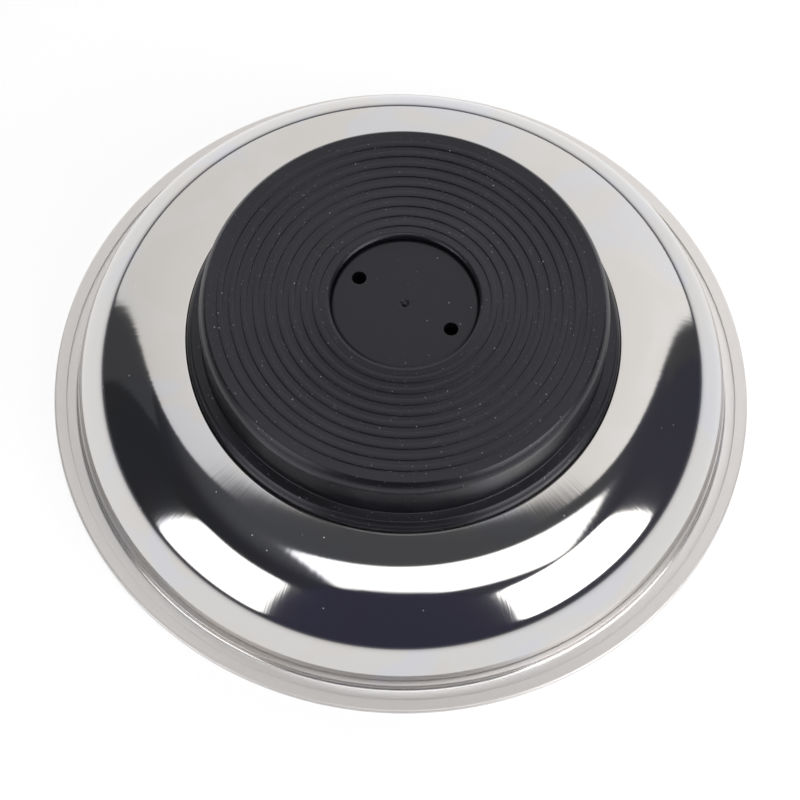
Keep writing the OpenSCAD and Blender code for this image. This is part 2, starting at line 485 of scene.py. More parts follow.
@dataclass(frozen=True)
class PolishedStainless:
    """Stainless sheet, pressed and polished. It mirrors the studio, and the folded edge stays dull.

    Sizes are in millimetres. The real hairlines are some 0.05 mm wide, so they are drawn coarser.
    """

    steel: str = "#d2d0ce"
    warm: str = "#d1cecb"
    cool: str = "#cfcfd3"
    pale: str = "#f0edeb"
    dull: str = "#e4e0dd"
    brushed: float = 0.62
    dust: str = "#f2f2f2"
    roughness: float = 0.075
    rim_roughness: float = 0.28
    spread: float = 0.55
    hairline_width: float = 0.2
    hairline_length: float = 30.0
    hairline_tilt: float = 0.008
    hairline_swing: Point = (0.25, 0.75)
    stain_size: float = 26.0
    warm_edge: Point = (0.5, 0.6)
    cool_edge: Point = (0.5, 0.62)
    dust_size: float = 2.2
    grain_radius: float = 0.05
    grain_share: float = 0.4
    rim_start: float = 69.6
    rim_end: float = 70.5
    hem_start: float = 72.15
    hem_top: float = 37.37
    hem_cover: Point = (0.7, 1.0)
    circle: float = 60.0

    def material(self) -> Material:
        """Builds the finish: hairlines along the wall, stains of polish, dust, brushed rim and dull hem.

        Returns:
            The material.
        """
        # Polished stainless: a clear mirror, which the hairlines comb along the wall.
        sh = Shading("polished_stainless_steel")
        flat = sh.add(VECTOR, (sh.place, (1.0, 1.0, 0.0)), operation="MULTIPLY")
        radius = sh.add(VECTOR, (flat,), "Value", operation="LENGTH")
        outwards = sh.add(VECTOR, (flat,), operation="NORMALIZE")
        height = sh.add("ShaderNodeSeparateXYZ", (sh.place,), "Z")
        round_axis = sh.add(VECTOR, ((0.0, 0.0, 1.0), outwards), operation="CROSS_PRODUCT")
        along = sh.add(MATH, (radius, height), operation="ADD")

        # Hairlines: thin strips along the wall, each tilted a little sideways, which comb the reflections.
        strip = sh.add(VECTOR, {0: outwards, 3: self.circle / self.hairline_width}, operation="SCALE")
        run = sh.add(MATH, (along, per_mm(self.hairline_length)), operation="MULTIPLY")
        run_place = sh.add("ShaderNodeCombineXYZ", {2: run})
        hair_place = sh.add(VECTOR, (strip, run_place), operation="ADD")
        hair = sh.add(NOISE, {"Vector": hair_place, "Scale": 1.0, "Detail": 2.0, "Roughness": 0.6})
        tilt = sh.add(RANGE, (hair, *self.hairline_swing, -self.hairline_tilt, self.hairline_tilt))
        lean = sh.add(VECTOR, {0: round_axis, 3: tilt}, operation="SCALE")
        normal = sh.add("ShaderNodeNewGeometry", out="Normal")
        leant = sh.add(VECTOR, (normal, lean), operation="ADD")
        combed = sh.add(VECTOR, (leant,), operation="NORMALIZE")

        # Stains of dried polish: cloudy patches, warm and cool, each with a soft border.
        cloud = sh.add(
            NOISE,
            {
                "Vector": sh.place,
                "Scale": per_mm(self.stain_size),
                "Detail": 2.5,
                "Roughness": 0.5,
                "Distortion": 0.9,
            },
            "Color",
        )
        clouds = sh.add("ShaderNodeSeparateColor", (cloud,)).node
        warmth = sh.add(RANGE, (clouds.outputs[0], *self.warm_edge), **SOFT_STEP)
        coolness = sh.add(RANGE, (clouds.outputs[1], *self.cool_edge), **SOFT_STEP)
        warmed = sh.add(MIX, {0: warmth, 6: srgb(self.steel), 7: srgb(self.warm)}, 2, data_type="RGBA")
        stained = sh.add(MIX, {0: coolness, 6: warmed, 7: srgb(self.cool)}, 2, data_type="RGBA")

        # The wall's foot and the rim stay brushed, and the hem that is folded under them is dull.
        rim = sh.add(RANGE, (radius, self.rim_start * MM, self.rim_end * MM), **SOFT_STEP)
        out_far = sh.add(MATH, (radius, self.hem_start * MM), operation="GREATER_THAN")
        under = sh.add(MATH, (height, self.hem_top * MM), operation="LESS_THAN")
        hem = sh.add(MATH, (out_far, under), operation="MULTIPLY")
        hem_share = sh.add(RANGE, (hair, 0.2, 0.8, *self.hem_cover))
        hem_dull = sh.add(MATH, (hem, hem_share), operation="MULTIPLY")
        paled = sh.add(MIX, {0: rim, 6: stained, 7: srgb(self.pale)}, 2, data_type="RGBA")
        dulled = sh.add(MIX, {0: hem_dull, 6: paled, 7: srgb(self.dull)}, 2, data_type="RGBA")
        rough = sh.add(RANGE, (rim, 0.0, 1.0, self.roughness, self.rim_roughness))

        # Dust: one small grain in some cells of a 3-D pattern.
        grains = sh.add("ShaderNodeTexVoronoi", {"Vector": sh.place, "Scale": per_mm(self.dust_size)}).node
        near = sh.add(MATH, (grains.outputs["Distance"], self.grain_radius), operation="LESS_THAN")
        chance = sh.add("ShaderNodeSeparateColor", (grains.outputs["Color"],))
        chosen = sh.add(MATH, (chance, self.grain_share), operation="LESS_THAN")
        dust = sh.add(MATH, (near, chosen), operation="MULTIPLY")
        colour = sh.add(MIX, {0: dust, 6: dulled, 7: srgb(self.dust)}, 2, data_type="RGBA")
        scatter = sh.add(RANGE, (rim, 0.0, 1.0, 1.0, 1 - self.brushed))
        metal = sh.add(MATH, (scatter, dust), operation="SUBTRACT", use_clamp=True)
        return sh.close(
            PRINCIPLED,
            {
                "Base Color": colour,
                "Metallic": metal,
                "Roughness": rough,
                "Normal": combed,
                "Anisotropic": self.spread,
                "Tangent": round_axis,
            },
        )


@dataclass(frozen=True)
class MouldedRubber:
    """Black rubber from a turned mould: dark and soft-lit, with faint rings and dust.

    Sizes are in millimetres.
    """

    rubber: str = "#0e0e12"
    worn: str = "#18181d"
    dust: str = "#bfbfc4"
    tint: str = "#f4f3ff"
    roughness: float = 0.33
    shine: float = 0.5
    ring_pitch: float = 0.62
    grain_size: float = 0.35
    dust_sizes: tuple[float, ...] = (1.0, 0.7, 0.5)
    dust_largest: float = 0.13
    dust_share: float = 0.5
    cloud_size: float = 22.0
    wear_edge: Point = (0.35, 0.7)
    relief: float = 0.35
    relief_depth: float = 0.04
    ior: float = 1.52

    def material(self) -> Material:
        """Builds the finish: turned rings, a fine grain, worn patches and dust.

        Returns:
            The material.
        """
        # Moulded rubber: near black, with a broad soft shine that the mould's tool rings break up.
        # Its real grain is too fine to show, so it is drawn coarser.
        sh = Shading("moulded_black_rubber")
        flat = sh.add(VECTOR, (sh.place, (1.0, 1.0, 0.0)), operation="MULTIPLY")
        radius = sh.add(VECTOR, (flat,), "Value", operation="LENGTH")
        rings_place = sh.add(MATH, (radius, per_mm(self.ring_pitch)), operation="MULTIPLY")
        rings = sh.add(NOISE, {"W": rings_place, "Scale": 1.0, "Detail": 2.0}, noise_dimensions="1D")
        grain = sh.add(NOISE, {"Vector": sh.place, "Scale": per_mm(self.grain_size), "Detail": 2.0})
        relief = sh.add(MATH, (rings, grain), operation="ADD")
        bump = sh.add(BUMP, {"Height": relief, "Strength": self.relief, "Distance": self.relief_depth * MM})
        cloud = sh.add(NOISE, {"Vector": sh.place, "Scale": per_mm(self.cloud_size), "Detail": 4.0})
        wear = sh.add(RANGE, (cloud, *self.wear_edge), **SOFT_STEP)
        colour = sh.add(MIX, {0: wear, 6: srgb(self.rubber), 7: srgb(self.worn)}, 2, data_type="RGBA")
        for dust_size in self.dust_sizes:
            colour = sh.dusted(colour, srgb(self.dust), dust_size, self.dust_largest, self.dust_share)
        return sh.close(
            PRINCIPLED,
            {
                "Base Color": colour,
                "Roughness": self.roughness,
                "Normal": bump,
                "Specular IOR Level": self.shine,
                "Specular Tint": srgb(self.tint),
                "IOR": self.ior,
            },
        )


@dataclass(frozen=True)
class SatinPlastic:
    """Black moulded plastic: smooth and satin, with scuffs and a few grains of dust. Sizes in millimetres."""

    plastic: str = "#121216"
    dust: str = "#b4b4b8"
    tint: str = "#f4f3ff"
    roughness: float = 0.36
    shine: float = 0.5
    scuff_width: float = 0.22
    scuff_length: float = 9.0
    scuff_turns: Point = (0.5, 1.9)
    scuff_edge: Point = (0.66, 0.78)
    scuff_dull: float = 0.2
    relief: float = 0.25
    relief_depth: float = 0.03
    dust_size: float = 1.5
    dust_largest: float = 0.09
    dust_share: float = 0.4
    ior: float = 1.5

    def material(self) -> Material:
        """Builds the finish: fine scuffs in two directions, uneven satin and dust.

        Returns:
            The material.
        """
        # Moulded plastic: black, with an even satin shine that is duller along the scuffs.
        # Real scuffs are thinner, so they are drawn wider to show.
        sh = Shading("satin_black_plastic")
        scuffs = None
        for turn in self.scuff_turns:
            turned = sh.add(
                "ShaderNodeVectorRotate", {"Vector": sh.place, "Angle": turn}, rotation_type="Z_AXIS"
            )
            drawn = sh.add(
                VECTOR,
                (turned, (per_mm(self.scuff_width), per_mm(self.scuff_length), per_mm(self.scuff_length))),
                operation="MULTIPLY",
            )
            noise = sh.add(NOISE, {"Vector": drawn, "Scale": 1.0, "Detail": 1.0, "Distortion": 0.4})
            scuff = sh.add(RANGE, (noise, *self.scuff_edge))
            scuffs = scuff if scuffs is None else sh.add(MATH, (scuffs, scuff), operation="MAXIMUM")
        rough = sh.add(RANGE, (scuffs, 0.0, 1.0, self.roughness, self.roughness + self.scuff_dull))
        bump = sh.add(BUMP, {"Height": scuffs, "Strength": self.relief, "Distance": self.relief_depth * MM})
        colour = sh.dusted(
            srgb(self.plastic), srgb(self.dust), self.dust_size, self.dust_largest, self.dust_share
        )
        return sh.close(
            PRINCIPLED,
            {
                "Base Color": colour,
                "Roughness": rough,
                "Normal": bump,
                "Specular IOR Level": self.shine,
                "Specular Tint": srgb(self.tint),
                "IOR": self.ior,
            },
        )


@dataclass(frozen=True)
class ZincPlate:
    """Bright zinc on steel: pale, faintly blue and yellow in clouds. Sizes in millimetres."""

    zinc: str = "#c3c6ca"
    bluish: str = "#b4bcc8"
    yellowish: str = "#c9c3b2"
    roughness: Point = (0.14, 0.32)
    cold_edge: Point = (0.4, 0.65)
    gold_edge: Point = (0.5, 0.75)
    cloud_size: float = 2.4
    grain_size: float = 0.25

    def material(self) -> Material:
        """Builds the finish: clouded colour, uneven shine and the fine grain of pressed steel.

        Returns:
            The material.
        """
        # Zinc plating: bright pale metal whose thin film shows blue and yellow clouds.
        sh = Shading("bright_zinc_plated_steel")
        cloud = sh.add(NOISE, {"Vector": sh.place, "Scale": per_mm(self.cloud_size), "Detail": 3.0}, "Color")
        tints = sh.add("ShaderNodeSeparateColor", (cloud,)).node
        cold = sh.add(RANGE, (tints.outputs[0], *self.cold_edge))
        gold = sh.add(RANGE, (tints.outputs[1], *self.gold_edge))
        tinted = sh.add(MIX, {0: cold, 6: srgb(self.zinc), 7: srgb(self.bluish)}, 2, data_type="RGBA")
        colour = sh.add(MIX, {0: gold, 6: tinted, 7: srgb(self.yellowish)}, 2, data_type="RGBA")
        grain = sh.add(NOISE, {"Vector": sh.place, "Scale": per_mm(self.grain_size), "Detail": 2.0})
        rough = sh.add(RANGE, (grain, 0.0, 1.0, *self.roughness))
        bump = sh.add(BUMP, {"Height": grain, "Strength": 0.15, "Distance": 0.02 * MM})
        return sh.close(
            PRINCIPLED, {"Base Color": colour, "Metallic": 1.0, "Roughness": rough, "Normal": bump}
        )


@dataclass(frozen=True)
class GroundFerrite:
    """Sintered ferrite: charcoal grey ceramic with grinding marks. Sizes in millimetres."""

    ferrite: str = "#35302f"
    pale: str = "#4b4644"
    mark_width: float = 0.3
    mark_length: float = 14.0
    roughness: Point = (0.45, 0.7)

    def material(self) -> Material:
        """Builds the finish: long straight grinding marks over a grainy body.

        Returns:
            The material.
        """
        # Ground ferrite: dark grey ceramic with little shine, lined by the grinding wheel.
        sh = Shading("ground_sintered_ferrite")
        drawn = sh.add(
            VECTOR,
            (sh.place, (per_mm(self.mark_width), per_mm(self.mark_length), per_mm(self.mark_width))),
            operation="MULTIPLY",
        )
        marks = sh.add(NOISE, {"Vector": drawn, "Scale": 1.0, "Detail": 3.0})
        colour = sh.add(MIX, {0: marks, 6: srgb(self.ferrite), 7: srgb(self.pale)}, 2, data_type="RGBA")
        rough = sh.add(RANGE, (marks, 0.0, 1.0, *self.roughness))
        bump = sh.add(BUMP, {"Height": marks, "Strength": 0.2, "Distance": 0.03 * MM})
        return sh.close(PRINCIPLED, {"Base Color": colour, "Roughness": rough, "Normal": bump})


@dataclass(frozen=True)
class TurnedBrass:
    """Turned brass: fine rings round its axis and slight tarnish. Sizes in millimetres."""

    brass: str = "#d3b06a"
    tarnish: str = "#a9813f"
    ring_pitch: float = 0.18
    roughness: Point = (0.18, 0.38)
    cloud_size: float = 2.0

    def material(self) -> Material:
        """Builds the finish: tool rings along the axis, and tarnish in clouds.

        Returns:
            The material.
        """
        # Turned brass: warm yellow metal with fine tool rings, browner where it has tarnished.
        sh = Shading("turned_brass")
        height = sh.add("ShaderNodeSeparateXYZ", (sh.place,), "Z")
        turns = sh.add(MATH, (height, per_mm(self.ring_pitch)), operation="MULTIPLY")
        rings = sh.add(NOISE, {"W": turns, "Scale": 1.0, "Detail": 1.0}, noise_dimensions="1D")
        cloud = sh.add(NOISE, {"Vector": sh.place, "Scale": per_mm(self.cloud_size), "Detail": 3.0})
        colour = sh.add(MIX, {0: cloud, 6: srgb(self.brass), 7: srgb(self.tarnish)}, 2, data_type="RGBA")
        rough = sh.add(RANGE, (rings, 0.0, 1.0, *self.roughness))
        bump = sh.add(BUMP, {"Height": rings, "Strength": 0.3, "Distance": 0.02 * MM})
        return sh.close(
            PRINCIPLED, {"Base Color": colour, "Metallic": 1.0, "Roughness": rough, "Normal": bump}
        )


@dataclass(frozen=True)
class Panel:
    """One softbox, backdrop or flag of the studio, as a soft-edged patch of a sphere round the tray.

    Angles are in degrees. Azimuth runs counter-clockwise from the picture's right as seen from above the
    table, and a panel that is lifted and rolled keeps its own width and height.
    """

    name: str
    azimuth: float
    half_width: float
    low: float
    high: float
    light: str
    strength: float
    lift: float = 0.0
    roll: float = 0.0
    distance: float = 2.2
    soft: float = 1.5
    fade: float = 1.5
    falloff: float = 0.0
    squareness: float = 10.0
    steps: int = 72

    def weight(self, across: float, rise: float) -> float:
        """How much of the panel is there, at a place given in its own angles.

        Args:
            across: Angle to the side of the panel's middle.
            rise: Angle above its horizon.

        Returns:
            One inside, zero outside, and a soft step between them.
        """
        half_height = (self.high - self.low) / 2
        u = (abs(across) / self.half_width) ** self.squareness
        v = (abs(rise - (self.low + self.high) / 2) / half_height) ** self.squareness
        side = u / (u + v) if u + v else 0.5
        reach = side * self.half_width + (1 - side) * half_height
        border = side * self.soft + (1 - side) * self.fade
        inside = 1 - (u + v) ** (1 / self.squareness)
        return smooth(inside * reach / border, 0.0, 1.0)

    def build(self, to_part: Matrix) -> Object:
        """Makes the panel.

        Args:
            to_part: Turns the studio's directions into the part's frame.

        Returns:
            The panel, hidden from the camera.
        """
        turn = (
            to_part
            @ Matrix.Rotation(math.radians(self.azimuth), 4, "Z")
            @ Matrix.Rotation(math.radians(-self.lift), 4, "Y")
            @ Matrix.Rotation(math.radians(self.roll), 4, "X")
        )
        shares = [i / self.steps for i in range(self.steps + 1)]
        angles = [
            (self.half_width * (2 * u - 1), self.low + (self.high - self.low) * v)
            for u in shares
            for v in shares
        ]
        points = []
        for across, rise in angles:
            a, e = math.radians(across), math.radians(rise)
            out = Vector((math.cos(e) * math.cos(a), math.cos(e) * math.sin(a), math.sin(e)))
            points.append(turn @ (out * self.distance))
        width = self.steps + 1
        faces = [
            (i * width + j, i * width + j + 1, (i + 1) * width + j + 1, (i + 1) * width + j)
            for i in range(self.steps)
            for j in range(self.steps)
        ]
        panel = new_object(self.name, points, [], faces)
        share = panel.data.attributes.new("share", "FLOAT", "POINT")
        level = panel.data.attributes.new("level", "FLOAT", "POINT")
        for i, (across, rise) in enumerate(angles):
            share.data[i].value = self.weight(across, rise)
            level.data[i].value = self.strength * (1 - self.falloff * across / self.half_width)
        sh = Shading(self.name)
        there = sh.add("ShaderNodeAttribute", out="Fac", attribute_name="share")
        strength = sh.add("ShaderNodeAttribute", out="Fac", attribute_name="level")
        glow = sh.add(EMISSION, {"Color": srgb(self.light), "Strength": strength})
        clear = sh.add("ShaderNodeBsdfTransparent")
        panel.data.materials.append(sh.close("ShaderNodeMixShader", (there, clear, glow)))
        panel.visible_camera = False
        return panel


@dataclass(frozen=True)
class Room:
    """Dim room round the studio: a shell that the steel mirrors, in front of a white world."""

    radius: float = 3.4
    left: str = "#2f3034"
    right: str = "#3f3f49"
    ceiling: str = "#525356"
    above: str = "#8c8f94"
    sides: Point = (-0.7, 0.1)
    roof: Point = (0.82, 0.94)
    horizon: Point = (0.0, 0.1)
    columns: int = 96
    rows: int = 48

    def paint(self, way: Vector) -> Colour:
        """Light of the room in one of the studio's directions.

        Args:
            way: The direction.

        Returns:
            The light's colour.
        """
        walls = mixed(srgb(self.left), srgb(self.right), smooth(way.x, *self.sides))
        roofed = mixed(walls, srgb(self.ceiling), smooth(way.z, *self.roof))
        return mixed(roofed, srgb(self.above), smooth(-way.z, *self.horizon))

    def world(self) -> None:
        """Sets the white that the camera sees past the tables."""
        world = bpy.data.worlds.new("white")
        world.use_nodes = True
        bpy.context.scene.world = world
        world.node_tree.nodes.clear()
        white = add_node(world.node_tree, "ShaderNodeBackground", {"Color": srgb("#ffffff")})
        add_node(world.node_tree, "ShaderNodeOutputWorld", (white,))

    def build(self) -> Object:
        """Makes the shell, hidden from the camera.

        Returns:
            The shell.
        """
        self.world()
        shell = new_object("room", [], [], [])
        shape = bmesh.new()
        bmesh.ops.create_uvsphere(shape, u_segments=self.columns, v_segments=self.rows, radius=self.radius)
        shape.to_mesh(shell.data)
        shape.free()
        light = shell.data.attributes.new("light", "FLOAT_COLOR", "POINT")
        for vertex in shell.data.vertices:
            light.data[vertex.index].color = self.paint(PHOTO_TO_PART @ vertex.co.normalized())
        sh = Shading("room")
        paint = sh.add("ShaderNodeAttribute", out="Color", attribute_name="light")
        shell.data.materials.append(sh.close(EMISSION, {"Color": paint}))
        shell.visible_camera = False
        return shell


class Facing(Enum):
    """Side that a table top shows from."""

    ABOVE = 1.0
    BELOW = -1.0


@dataclass(frozen=True)
class Studio:
    """Camera, table tops and light of the photograph, and a plain studio above for the other views."""

    elevation: float = 63.448
    roll: float = 2.301
    lens: float = 102.481
    face_right: float = 1.019
    face_up: float = 20.349
    face_away: float = 460.748
    nearest: float = 0.01
    table_radius: float = 1.4
    table_rings: Point = (0.05, 0.3)
    table_turns: int = 96
    rim_cover: float = 4.0
    floor_gap: float = 0.05
    floor_hole: float = 20.0
    paint: str = "#a0a0a0"
    glow: float = 0.72
    dim: str = "#5a5a62"
    dim_start: float = 0.12
    dim_end: float = 0.45

    def camera(self) -> Object:
        """Sets the camera where the photograph was taken from.

        Returns:
            The camera.
        """
        tilt = Matrix.Rotation(math.radians(90 - self.elevation), 4, "X")
        spin = Matrix.Rotation(math.radians(self.roll), 4, "Z")
        turn = PHOTO_TO_PART @ tilt @ spin
        data = bpy.data.cameras.new("camera")
        data.lens = self.lens
        data.clip_start = self.nearest
        obj = bpy.data.objects.new("camera", data)
        face = Vector((self.face_right, self.face_up, -self.face_away)) * MM
        obj.matrix_world = Matrix.Translation(-(turn @ face)) @ turn
        bpy.context.scene.collection.objects.link(obj)
        bpy.context.scene.camera = obj
        return obj

    def table(self, name: str, height: float, facing: Facing, hole: float) -> Object:
        """Makes a white table top that shows from one side only.

        Args:
            name: The object's name.
            height: Its height in metres.
            facing: The side that it shows from.
            hole: Radius of the hole in its middle, in metres.

        Returns:
            The table top.
        """
        turns, (border, middle) = self.table_turns, self.table_rings
        radii = [hole, hole + border, middle, self.table_radius]
        angles = [math.tau * i / turns for i in range(turns)]
        points = [(r * math.cos(a), facing.value * r * math.sin(a), height) for r in radii for a in angles]
        sides = [(i, (i + 1) % turns) for i in range(turns)]
        starts = [k * turns for k in range(len(radii) - 1)]
        faces = [(s + i, s + turns + i, s + turns + j, s + j) for s in starts for i, j in sides]
        top = new_object(name, points, [], faces)
        sh = Shading(name)
        back = sh.add("ShaderNodeNewGeometry", out="Backfacing")
        paint = sh.add("ShaderNodeBsdfDiffuse", {"Color": srgb(self.paint)})
        glow = sh.add(EMISSION, {"Color": srgb("#ffffff"), "Strength": self.glow})
        near = sh.add("ShaderNodeAddShader", (paint, glow))
        front = self.ended(sh, near, self.dim if facing is Facing.BELOW else "#ffffff")
        clear = sh.add("ShaderNodeBsdfTransparent")
        top.data.materials.append(sh.close("ShaderNodeMixShader", (back, front, clear)))
        top.visible_shadow = False
        top.visible_diffuse = False
        return top

    def ended(self, sh: Shading, front: NodeSocket, light: str) -> NodeSocket:
        """Lets a table top run out into another light, away from the tray.

        Args:
            sh: The table top's material.
            front: Its shader near the tray.
            light: Colour of the light that it runs out into.

        Returns:
            The shader of the whole table top.
        """
        away = sh.add(VECTOR, (sh.place,), "Value", operation="LENGTH")
        far = sh.add(RANGE, (away, self.dim_start, self.dim_end), **SOFT_STEP)
        end = sh.add(EMISSION, {"Color": srgb(light)})
        return sh.add("ShaderNodeMixShader", (far, front, end))

    def panels(self) -> list[Panel]:
        """Panels of the photograph's view."""
        return [
            Panel("backdrop", 90.5, 57, -8, 72, "#fbfaf9", 1.03, distance=2.8, fade=4.0, falloff=0.14),
            Panel("backdrop_edge_left", 155, 9, -4, 52, "#47484b", 1.0, distance=2.85),
            Panel("backdrop_edge_right", 30.5, 4.5, -4, 40, "#47484b", 1.0, distance=2.85),
            Panel("left_softbox", 218.6, 18.8, 0, 45, "#ffffff", 2.0),
            Panel("right_softbox", 325.8, 22.8, 4, 46, "#ffffff", 3.4),
            Panel("top_softbox", 306.5, 26, -15.8, 15.8, "#ffffff", 2.0, lift=71.4, roll=-24, squareness=6.0),
            Panel(
                "flag", 270, 34.5, -62, 62, "#3a3a4a", 1.0, distance=1.6, soft=2.0, fade=3.0, squareness=3.2
            ),
        ]

    def upper_panels(self) -> list[Panel]:
        """Panels of the views from above."""
        return [
            Panel("upper_softbox", 270, 45, -22, 22, "#ffffff", 2.4, lift=66),
            Panel("upper_left_softbox", 155, 24, 10, 50, "#ffffff", 2.0),
            Panel("upper_right_softbox", 15, 24, 10, 50, "#ffffff", 2.0),
            Panel("upper_flag", 95, 26, 0, 62, "#3a3b40", 1.0, soft=4.0),
        ]

    def build(self) -> None:
        """Sets the whole studio up."""
        bpy.context.scene.view_settings.view_transform = "Standard"
        self.camera()
        Room().build()
        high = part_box("dish")[1]
        self.table("table_of_the_photograph", high.z, Facing.BELOW, high.x - self.rim_cover * MM)
        floor = self.table("floor", -self.floor_gap * MM, Facing.ABOVE, self.floor_hole * MM)
        floor.visible_glossy = False
        for panel in self.panels():
            panel.build(PHOTO_TO_PART)
        for panel in self.upper_panels():
            panel.build(Matrix.Identity(4))


@dataclass
class Dish:
    """Pressed dish: bottom, rounded wall, flat rim and the edge folded back under it.

    Sizes are in millimetres.
    """

    sheet: float = 0.5
    rim_width: float = 5.3
    wall_round: float = 21.8
    rim_bend: float = 0.8
    hem_width: float = 2.7
    hem_gap: float = 0.1
    hole: float = 2.75
    burr: float = 0.06
    crest: float = 45.35
    crest_tilt: float = 2.2
    crest_width: float = 0.3
    blend: float = 50.5
    support: float = 0.05
    cut_lead: float = 0.6
    leaf_lead: float = 1.0
    seat_lead: float = 0.2
    wander: float = 0.12
    wander_length: float = 6.0
    turns: int = 384

    def __post_init__(self) -> None:
        """Reads the outer sizes from the frame."""
        low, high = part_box("dish")
        self.rim = high.x / MM
        self.bottom = low.z / MM
        self.top = high.z / MM

    def seat(self, round_start: float) -> list[Point]:
        """Shallow pressed seat of the boot: a crest round the flange that runs out into the rounded wall.

        Args:
            round_start: Radius where the wall's rounding would start from a flat bottom.

        Returns:
            Points from the seat's edge over the crest to the rounding.
        """
        steps = 14
        end_tilt = math.degrees(math.asin((self.blend - round_start) / self.wall_round))
        height = self.bottom + self.wall_round * (1 - math.cos(math.radians(end_tilt)))
        path = [(self.blend, height)]
        stride = (self.blend - self.crest) / steps
        for i in range(steps):
            tilt = end_tilt + (self.crest_tilt - end_tilt) * (i + 0.5) / steps
            height -= stride * math.tan(math.radians(tilt))
            path.append((path[-1][0] - stride, height))
        drop = self.bottom - height
        rises = 6
        flank = [(1 - s / rises, (1 + math.cos(math.pi * s / rises)) / 2) for s in range(1, rises + 1)]
        path += [(self.crest - self.crest_width * (1 - u), self.bottom - drop * v) for u, v in flank]
        return path[::-1]

    def section(self) -> tuple[list[Point], set[int]]:
        """Works out the sheet's outline.

        Returns:
            The closed path, and the numbers of the points at the hem's cut edge.
        """
        wall = self.rim - self.rim_width
        seat = wall - self.wall_round
        fold = self.rim - self.sheet - self.hem_gap / 2
        fold_z = self.top - self.sheet - self.hem_gap / 2
        under = self.top - self.sheet
        leaf = self.rim - self.hem_width
        bend = (wall + self.rim_bend, under - self.rim_bend)
        round_centre = (seat, self.bottom + self.wall_round)
        round_tilt = math.degrees(math.asin((self.blend - seat) / self.wall_round))
        inside = self.bottom + self.sheet
        leaf_top = under - self.hem_gap
        leaf_low = leaf_top - self.sheet
        outer = joined(
            line((self.hole, self.bottom), (self.crest - 2 * self.crest_width, self.bottom), 6),
            self.seat(seat),
            arc(round_centre, self.wall_round, round_tilt - 90, 0, 52),
            arc(bend, self.rim_bend, 180, 90, 10),
            line((wall + self.rim_bend + self.support, under), (leaf - self.support, under), 3),
            arc((fold, fold_z), self.hem_gap / 2, 90, -90, 6),
        )
        cut = [
            (leaf + self.cut_lead, leaf_top),
            (leaf + self.burr, leaf_top),
            (leaf, leaf_top - self.burr),
            (leaf, leaf_low + self.burr),
            (leaf + self.burr, leaf_low),
            (leaf + self.cut_lead, leaf_low),
        ]
        rest = joined(
            line((fold - self.leaf_lead, leaf_low), (fold - self.support, leaf_low), 2),
            arc((fold, fold_z), self.sheet + self.hem_gap / 2, -90, 90, 20),
            line((fold - self.support, self.top), (wall + self.rim_bend + self.support, self.top), 4),
            arc(bend, self.rim_bend + self.sheet, 90, 180, 12),
            arc(round_centre, self.wall_round - self.sheet, 0, -90, 56),
            line((seat - self.seat_lead, inside), (self.hole, inside), 6),
            [(self.hole, self.bottom)],
        )
        first = len(outer)
        return outer + cut + rest, set(range(first + 1, first + 5))

    def build(self, lathe: Lathe, finish: Material) -> Object:
        """Turns the dish and puts it in the place of its node.

        Args:
            lathe: The lathe that turns it.
            finish: The piece's material.

        Returns:
            The piece.
        """
        section, edge = self.section()
        piece = baked(
            lathe.turn("dish_sheet", section, finish, self.turns, edge, self.wander, self.wander_length)
        )
        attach(piece, BODY)
        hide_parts("dish")
        return piece


